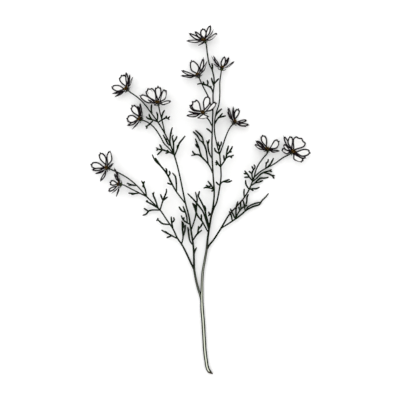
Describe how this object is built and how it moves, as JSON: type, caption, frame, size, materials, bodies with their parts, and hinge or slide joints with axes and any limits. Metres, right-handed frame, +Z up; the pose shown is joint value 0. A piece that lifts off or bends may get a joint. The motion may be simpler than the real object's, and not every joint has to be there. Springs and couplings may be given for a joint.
{
  "type": "cosmos flower spray",
  "caption": "Cut spray of white garden cosmos: cupped daisy-like flowers on a branching green stem with thread-fine forked leaves, lying on its side.",
  "frame": {"origin": "the middle of the spray's outline seen from above, on the surface that it lies on", "axes": "+Y along the spray from the cut end towards the top flower, +Z up from the surface, +X to the right as in the picture"},
  "size_m": [0.3757, 0.5962, 0.0451],
  "materials": {
    "stem": "satin",
    "petal": "matte",
    "disc": "matte"
  },
  "bodies": {
    "root": {"main_stem": "stem", "left_branch": "stem", "outer_left_branch": "stem", "inner_right_branch": "stem", "right_branch": "stem", "bloom_01_petals": "petal", "bloom_02_petals": "petal", "bloom_03_petals": "petal", "bloom_04_petals": "petal", "bloom_05_petals": "petal", "bloom_06_petals": "petal", "bloom_07_petals": "petal", "bloom_08_petals": "petal", "bloom_09_petals": "petal", "bloom_10_petals": "petal", "bloom_11_petals": "petal", "bloom_12_petals": "petal", "bloom_01_disc": "disc", "bloom_02_disc": "disc", "bloom_03_disc": "disc", "bloom_04_disc": "disc", "bloom_05_disc": "disc", "bloom_06_disc": "disc", "bloom_07_disc": "disc", "bloom_08_disc": "disc", "bloom_09_disc": "disc", "bloom_10_disc": "disc", "bloom_11_disc": "disc", "bloom_12_disc": "disc"}
  },
  "joints": []
}
